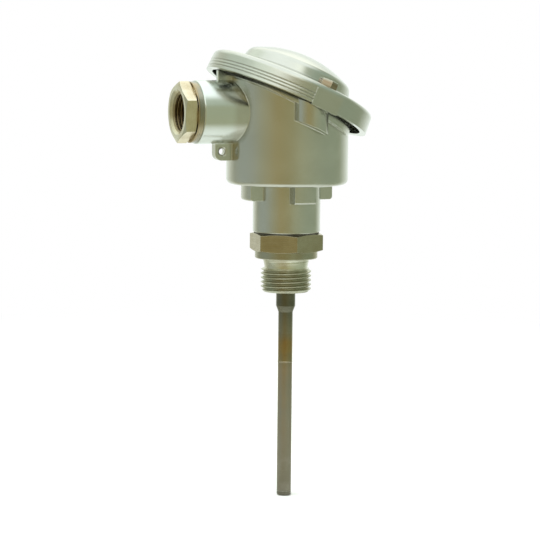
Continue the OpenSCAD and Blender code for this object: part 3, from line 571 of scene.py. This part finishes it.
screw_in_fitting = merged_copy("screw_in_fitting", "process_fitting")
cut_off(screw_in_fitting, (0, 0, -0.0001), (0, 0, -1))
pipe_thread = threaded_sleeve("pipe_thread", -14.0, -0.05, bore=4.0, root=9.32, crest=10.4775, pitch=1.814,
                              limit=pipe_blank, corners=96, step=0.085)
# Along the axis the steel is pale over the waist, a painted highlight, and darker and browner over the collar
# and hexagon, a painted reflection of the dark surroundings.
fitting_steel = turned_metal(
    "fitting_steel", [(-0.0140, (0.48, 0.49, 0.39)), (-0.0048, (0.52, 0.52, 0.41)),
                      (-0.0042, (0.76, 0.76, 0.65)), (-0.0004, (0.76, 0.76, 0.65)),
                      (0.0002, (0.44, 0.43, 0.335)), (0.0029, (0.44, 0.43, 0.335)),
                      (0.0032, (0.47, 0.425, 0.30)), (0.0103, (0.49, 0.445, 0.325))],
    (0.36, 0.30, 0.18), (0.62, 0.60, 0.50), 0.27, 0.8, low_z=-0.0145, high_z=0.0110)
for piece in (screw_in_fitting, pipe_thread):
    piece.data.materials.clear()
    piece.data.materials.append(fitting_steel)
joined(screw_in_fitting, pipe_thread)
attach(screw_in_fitting, "head")
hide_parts("process_fitting")


# ---------------------------------------------------------------- stem and measuring tube
# The stem is a tube swaged from 8 to 6 mm, laser-welded to a thinner measuring tube
# that a plug closes. The weld's heat has left a straw-brown tint above the joint.
# Above the weld's tint the stem darkens towards the fitting and over the taper: painted shade.
stem_steel = turned_metal(
    "stem_steel", [(-0.0435, (0.35, 0.30, 0.17)), (-0.0428, (0.37, 0.29, 0.15)),
                   (-0.0390, (0.36, 0.26, 0.115)), (-0.0350, (0.35, 0.24, 0.10)),
                   (-0.0310, (0.30, 0.27, 0.19)), (-0.0226, (0.19, 0.185, 0.14)),
                   (-0.0200, (0.155, 0.15, 0.11)), (-0.0140, (0.165, 0.16, 0.12))],
    (0.24, 0.22, 0.16), (0.42, 0.41, 0.35), 0.31, 0.7, low_z=-0.0440, high_z=-0.0130, pitch=0.00025)
tube_steel = turned_metal(
    "tube_steel", [(-0.1000, (0.15, 0.14, 0.11)), (-0.0985, (0.13, 0.12, 0.09)),
                   (-0.0978, (0.20, 0.18, 0.135)), (-0.0900, (0.225, 0.205, 0.15)),
                   (-0.0600, (0.37, 0.325, 0.25)), (-0.0470, (0.40, 0.335, 0.25)),
                   (-0.0440, (0.37, 0.31, 0.21)), (-0.0435, (0.33, 0.28, 0.18))],
    (0.33, 0.31, 0.26), (0.52, 0.50, 0.45), 0.33, 0.6, low_z=-0.1005, high_z=-0.0430, pitch=0.00030)
dress("stem_tube", stem_steel)
dress("tip_tube", tube_steel)
dress("tip_plug", tube_steel)


weld_z, weld_half = -43.5, 0.32


def weld_profile(z):
    """Radius in millimetres across the weld's bead, which stands a little proud."""
    across = min(1.0, abs(z - weld_z) / weld_half)
    return 2.985 + 0.095 * math.sqrt(1 - across * across)


weld_bead = threaded_sleeve("weld_bead", -43.82, -43.18, bore=2.9, root=3.05, crest=3.10, pitch=8.0,
                            limit=weld_profile, corners=72, step=0.05)
for vertex in weld_bead.data.vertices:
    angle = math.atan2(vertex.co.y, vertex.co.x)
    ripple = 1 + 0.004 * math.sin(36 * angle + 900 * vertex.co.z)
    vertex.co = (vertex.co.x * ripple, vertex.co.y * ripple, vertex.co.z)
weld_bead.data.materials.append(turned_metal(
    "weld_metal", [(-0.0440, (0.40, 0.36, 0.28)), (-0.0435, (0.52, 0.47, 0.36)),
                   (-0.0430, (0.36, 0.28, 0.15))],
    (0.25, 0.18, 0.09), (0.60, 0.56, 0.46), 0.30, 0.5, low_z=-0.0441, high_z=-0.0429))
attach(weld_bead, "head")


# ---------------------------------------------------------------- cable reducer
# Turned from hexagon brass and nickel-plated: the plating is warm and bright, thin
# and yellowish in the bore, where a fine thread takes the cable gland; the bore is darker deeper in, as
# painted shade.
# Behind the hexagon the shoulder is painted dark brown, then dark grey-green: painted shade between the
# hexagon and the boss.
reducer_metal = turned_metal(
    "reducer_nickel", [(-0.0484, (0.70, 0.68, 0.54)), (-0.0476, (0.76, 0.69, 0.51)),
                       (-0.0436, (0.74, 0.66, 0.48)), (-0.0430, (0.30, 0.22, 0.12)),
                       (-0.0424, (0.30, 0.30, 0.25)), (-0.0400, (0.30, 0.31, 0.27))],
    (0.45, 0.36, 0.20), (0.80, 0.78, 0.66), 0.24, 0.5, low_z=-0.0485, high_z=-0.0300, axis=(1, 0, 0))
dress("cable_reducer", reducer_metal)


def gland_bore(z):
    """The reducer's bore in millimetres: widened at both ends, 7.2 in between."""
    from_end = max(0.0, min(z + 47.4, -31.7 - z))
    return 8.0 - min(0.8, from_end * 1.2)


gland_thread = threaded_sleeve("gland_thread", -47.45, -31.6, bore=8.06, root=7.22, crest=8.0, pitch=1.5,
                               limit=gland_bore, corners=72, step=0.12, inside=True)
only_selected(gland_thread)
entry_z = 0.0606
gland_thread.data.transform(Matrix.Translation((0, 0, entry_z)) @ Matrix.Rotation(math.radians(90), 4, "Y"))
# The bore's thread darkens from its mouth inwards: painted shade deeper in the bore, over the yellowish
# plating.
gland_thread.data.materials.append(turned_metal(
    "gland_thread_nickel", [(-0.0475, (0.46, 0.39, 0.24)), (-0.0455, (0.30, 0.22, 0.11)),
                            (-0.0320, (0.18, 0.12, 0.05))],
    (0.16, 0.10, 0.04), (0.74, 0.70, 0.52), 0.28, 0.3, low_z=-0.0480, high_z=-0.0310, axis=(1, 0, 0)))
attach(gland_thread, "head")


# ---------------------------------------------------------------- cover screws and washers
# Two M4 hexagon screws with a driver slot, nickel-plated brass, each on a plain steel
# washer. The neck under the thread's end is relieved, so that they stay in the cover.
# Their plating is brighter on the corners, as wear and as a painted highlight, and darker and browner in the
# slot and under the head, as browning and as painted shade.
lid_axis = Vector(next(joint["axis"] for joint in frame["joints"] if joint["name"] == "cover_lift"))
# Along the axis the tone darkens under the head and in the slot: browning and painted shade.
screw_metal = turned_metal(
    "screw_nickel", [(0.0600, (0.60, 0.50, 0.34)), (0.0670, (0.20, 0.15, 0.09)), (0.0678, (0.34, 0.29, 0.20)),
                     (0.0692, (0.26, 0.20, 0.13)), (0.0704, (0.40, 0.42, 0.35))],
    (0.40, 0.30, 0.20), (0.98, 0.98, 0.88), 0.16, 0.4, low_z=0.050, high_z=0.071, pitch=0.0004,
    axis=tuple(lid_axis))
washer_metal = turned_metal(
    "washer_steel", [(0.070, (0.50, 0.49, 0.45)), (0.080, (0.56, 0.56, 0.53))],
    (0.30, 0.24, 0.17), (0.70, 0.70, 0.66), 0.32, 0.4, low_z=0.069, high_z=0.081)
for name in ("screw_washer_front", "screw_washer_rear"):
    dress(name, washer_metal)


def captive_blank(z):
    """Radius in millimetres of the screw under its head: chamfered end, relieved neck."""
    if -8.1 < z < -3.1:
        return 1.4
    return min(1.95, 1.5 + (z + 15.0) * 0.9)


# One screw, upright, with the underside of its head at the origin.
across_flats, head_height = 0.0070, 0.003
nothing_selected()
bpy.ops.mesh.primitive_cylinder_add(vertices=6, radius=across_flats / math.sqrt(3), depth=head_height,
                                    location=(0, 0, head_height / 2))
head = bpy.context.object
head.name = head.data.name = "captive_screw_front"
bpy.ops.object.transform_apply(location=True, rotation=True, scale=True)
bpy.ops.object.mode_set(mode="EDIT")
bpy.ops.mesh.select_mode(type="FACE")
bpy.ops.mesh.select_all(action="DESELECT")
bpy.ops.object.mode_set(mode="OBJECT")
for face in head.data.polygons:
    face.select = face.normal.z > 0.9
bpy.ops.object.mode_set(mode="EDIT")
bpy.ops.mesh.bevel(offset=0.00042, segments=2)
bpy.ops.object.mode_set(mode="OBJECT")
nothing_selected()
bpy.ops.mesh.primitive_cube_add(size=1, location=(0, 0, head_height), scale=(0.0100, 0.0010, 0.0022))
blade = bpy.context.object
slot = head.modifiers.new("driver_slot", "BOOLEAN")
slot.object = blade
slot.operation = "DIFFERENCE"
only_selected(head)
bpy.ops.object.modifier_apply(modifier="driver_slot")
bpy.data.objects.remove(blade)
shank = threaded_sleeve("screw_shank", -15.0, -3.2, bore=0.25, root=1.56, crest=1.95, pitch=0.7,
                        limit=captive_blank, corners=32, step=0.07)
nothing_selected()
bpy.ops.mesh.primitive_cylinder_add(vertices=32, radius=0.00195, depth=0.00325, location=(0, 0, -0.001575))
plain = bpy.context.object
bpy.ops.object.transform_apply(location=True, rotation=True, scale=True)
for piece in (head, shank, plain):
    piece.data.materials.clear()
    piece.data.materials.append(screw_metal)
front_screw = joined(head, shank, plain)
rear_screw = copy_of(front_screw, "captive_screw_rear")

upright = Matrix.Rotation(math.atan2(lid_axis.x, lid_axis.z), 4, "Y")
gap = 0.00002
for screw, side in ((front_screw, "front"), (rear_screw, "rear")):
    washer = [vertex.co for vertex in nodes["screw_washer_" + side].data.vertices]
    middle = sum(washer, Vector()) / len(washer)
    washer_top = max((place - middle).dot(lid_axis) for place in washer)
    under_head = middle + lid_axis * (washer_top + gap)
    screw.data.transform(Matrix.Translation(under_head) @ upright)
    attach(screw, side + "_screw")
    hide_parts("cover_screw_" + side)


# ---------------------------------------------------------------- measuring insert
# A stainless plate carries the thin insert tube and is held by two zinc-plated screws.
# The tube is packed with white oxide round the wires and the platinum element.
plate_steel = turned_metal(
    "plate_stainless", [(0.030, (0.56, 0.56, 0.53)), (0.040, (0.62, 0.62, 0.59))],
    (0.42, 0.40, 0.35), (0.78, 0.78, 0.75), 0.28, 0.6, low_z=0.029, high_z=0.041)
inner_screw_metal = turned_metal(
    "zinc_plating", [(0.030, (0.60, 0.60, 0.56)), (0.060, (0.68, 0.68, 0.66))],
    (0.50, 0.46, 0.34), (0.84, 0.84, 0.82), 0.27, 0.4, low_z=0.029, high_z=0.061, pitch=0.0003)
dress("insert_plate", plate_steel)
dress("insert_tube", plate_steel)
dress("insert_screws", inner_screw_metal)
dress("terminal_screws", inner_screw_metal)
dress("earth_screw", inner_screw_metal)


def fired_ceramic(name, pale, speckled, size):
    """Unglazed ceramic: pale body, faint darker specks, fine tooth."""
    stuff, tree = blank_material(name)
    where = put(tree, "ShaderNodeTexCoord")
    cloud = put(tree, "ShaderNodeTexNoise", {"Scale": 180.0, "Detail": 4.0})
    tone = ramp(tree, [(0.35, speckled), (0.60, pale)])
    specks = put(tree, "ShaderNodeTexVoronoi", {"Scale": 700.0})
    dot = put(tree, "ShaderNodeMapRange",
              {"From Min": 0.03, "From Max": 0.12, "To Min": 0.35, "To Max": 0.0})
    dotted = put(tree, "ShaderNodeMix", data_type="RGBA")
    dotted.inputs["B"].default_value = (0.36, 0.30, 0.22, 1)
    fine = put(tree, "ShaderNodeTexNoise", {"Scale": size, "Detail": 3.0})
    bump = put(tree, "ShaderNodeBump", {"Strength": 0.3, "Distance": 0.00004})
    body = put(tree, "ShaderNodeBsdfPrincipled", {"Roughness": 0.62})
    out = put(tree, "ShaderNodeOutputMaterial")
    join(tree, (where.outputs["Object"], cloud.inputs["Vector"]),
         (where.outputs["Object"], specks.inputs["Vector"]),
         (where.outputs["Object"], fine.inputs["Vector"]), (cloud.outputs[0], tone.inputs[0]),
         (tone.outputs[0], dotted.inputs["A"]), (specks.outputs["Distance"], dot.inputs["Value"]),
         (dot.outputs[0], dotted.inputs["Factor"]), (dotted.outputs["Result"], body.inputs["Base Color"]),
         (fine.outputs[0], bump.inputs["Height"]), (bump.outputs[0], body.inputs["Normal"]),
         (body.outputs[0], out.inputs[0]))
    return stuff


oxide = fired_ceramic("packed_oxide", (0.86, 0.85, 0.81), (0.78, 0.77, 0.73), 6000.0)
dress("terminal_base", fired_ceramic("steatite_base", (0.84, 0.81, 0.72), (0.76, 0.72, 0.62), 3600.0))
dress("insulation_core", oxide)
dress("sensor_element", oxide)


# ---------------------------------------------------------------- terminals
# Four drawn brass clamps with a wire hole and a screw from above, left bright from
# the saw and a little tarnished between the screws.
terminal_brass = turned_metal(
    "terminal_brass", [(0.043, (0.66, 0.50, 0.22)), (0.050, (0.76, 0.61, 0.30))],
    (0.40, 0.27, 0.11), (0.90, 0.78, 0.46), 0.27, 0.5, low_z=0.042, high_z=0.051)
for number in (1, 2, 3, 4):
    dress(f"terminal_{number}", terminal_brass)


# ---------------------------------------------------------------- insert springs
# Two coil springs of 0.7 mm hard-drawn wire press the plate down under the screw
# heads.
spring_steel = turned_metal(
    "spring_wire", [(0.035, (0.58, 0.58, 0.55)), (0.045, (0.64, 0.64, 0.61))],
    (0.42, 0.40, 0.34), (0.80, 0.80, 0.77), 0.25, 0.3, low_z=0.034, high_z=0.046)
block_turn = math.radians(4.5)
screw_reach = 0.0165
wire_r = 0.00035
windings = 4.5
low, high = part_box("insert_spring_front")
nothing_selected()
bpy.ops.mesh.primitive_circle_add(vertices=12, radius=wire_r, location=(0.003, 0, 0),
                                  rotation=(math.pi / 2, 0, 0))
front_coil = bpy.context.object
bpy.ops.object.transform_apply(location=True, rotation=True, scale=True)
front_coil.name = front_coil.data.name = "coil_front"
coil = front_coil.modifiers.new("coil", "SCREW")
coil.angle = 2 * math.pi * windings
coil.screw_offset = high.z - low.z - 2 * wire_r
coil.steps = coil.render_steps = 126
bpy.ops.object.modifier_apply(modifier="coil")
bpy.ops.object.mode_set(mode="EDIT")
bpy.ops.mesh.select_mode(type="EDGE")
bpy.ops.mesh.select_all(action="DESELECT")
bpy.ops.mesh.select_non_manifold()
bpy.ops.mesh.edge_face_add()
bpy.ops.mesh.select_all(action="SELECT")
bpy.ops.mesh.normals_make_consistent(inside=False)
bpy.ops.object.mode_set(mode="OBJECT")
bpy.ops.object.shade_smooth_by_angle(angle=math.radians(50))
front_coil.data.materials.append(spring_steel)
rear_coil = copy_of(front_coil, "coil_rear")
for spring, name, side in ((front_coil, "insert_spring_front", -1), (rear_coil, "insert_spring_rear", 1)):
    x = -side * screw_reach * math.sin(block_turn)
    y = side * screw_reach * math.cos(block_turn)
    foot = Matrix.Translation((x, y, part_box(name)[0].z + wire_r))
    spring.data.transform(foot @ Matrix.Rotation(block_turn, 4, "Z"))
    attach(spring, "head")
    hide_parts(name)
    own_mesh(spring)


# ---------------------------------------------------------------- insulated leads
# Two red and two white leads, stranded wire in a thin sleeve, come up out of the
# insert and bend outwards into the clamps, which hide their bared ends.
def sleeved_wire(name, colour, faded):
    """A lead's sleeve: fresh and faded tones, half gloss."""
    stuff, tree = blank_material(name)
    where = put(tree, "ShaderNodeTexCoord")
    cloud = put(tree, "ShaderNodeTexNoise", {"Scale": 320.0, "Detail": 3.0})
    tone = ramp(tree, [(0.38, colour), (0.70, faded)])
    fine = put(tree, "ShaderNodeTexNoise", {"Scale": 5200.0, "Detail": 2.0})
    bump = put(tree, "ShaderNodeBump", {"Strength": 0.2, "Distance": 0.00003})
    gloss = put(tree, "ShaderNodeMapRange", {"To Min": 0.34, "To Max": 0.52})
    body = put(tree, "ShaderNodeBsdfPrincipled")
    out = put(tree, "ShaderNodeOutputMaterial")
    join(tree, (where.outputs["Object"], cloud.inputs["Vector"]),
         (where.outputs["Object"], fine.inputs["Vector"]), (cloud.outputs[0], tone.inputs[0]),
         (tone.outputs[0], body.inputs["Base Color"]), (cloud.outputs[0], gloss.inputs["Value"]),
         (gloss.outputs[0], body.inputs["Roughness"]), (fine.outputs[0], bump.inputs["Height"]),
         (bump.outputs[0], body.inputs["Normal"]), (body.outputs[0], out.inputs[0]))
    return stuff


sleeve_red = sleeved_wire("sleeve_red", (0.46, 0.035, 0.022), (0.56, 0.070, 0.045))
sleeve_white = sleeved_wire("sleeve_white", (0.72, 0.70, 0.65), (0.80, 0.79, 0.75))
for number, (sx, sy) in enumerate(((-1, -1), (1, -1), (1, 1), (-1, 1))):
    start = Vector((sx * 0.62, sy * 0.62, 39.35))
    goal = Vector((sx * 7.7, sy * 6.0, 45.7))
    leaving = Vector((start.x, start.y, 41.3))
    rising = Vector((start.x, start.y, 47.2))
    arriving = Vector((goal.x - sx * 5.5, goal.y, goal.z))
    line = bpy.data.curves.new("lead_line", "CURVE")
    line.dimensions = "3D"
    line.bevel_depth = 0.00048
    line.bevel_resolution = 4
    line.use_fill_caps = True
    line.resolution_u = 12
    spline = line.splines.new("POLY")
    way = [start]
    for count in range(25):
        t = count / 24
        u = 1 - t
        way.append(u ** 3 * leaving + 3 * u * u * t * rising + 3 * u * t * t * arriving + t ** 3 * goal)
    spline.points.add(len(way) - 1)
    for knot, place in zip(spline.points, way):
        knot.co = (*(place * 0.001), 1)
    lead = bpy.data.objects.new(f"lead_{number + 1}", line)
    bpy.context.scene.collection.objects.link(lead)
    only_selected(lead)
    bpy.ops.object.convert(target="MESH")
    lead = bpy.context.object
    bpy.ops.object.mode_set(mode="EDIT")
    bpy.ops.mesh.select_all(action="SELECT")
    bpy.ops.mesh.remove_doubles(threshold=0.000001)
    bpy.ops.mesh.normals_make_consistent(inside=False)
    bpy.ops.object.mode_set(mode="OBJECT")
    lead.data.transform(Matrix.Rotation(block_turn, 4, "Z"))
    bpy.ops.object.shade_smooth_by_angle(angle=math.radians(50))
    lead.data.materials.clear()
    lead.data.materials.append(sleeve_red if number < 2 else sleeve_white)
    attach(lead, "insert")
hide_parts("lead_wires")
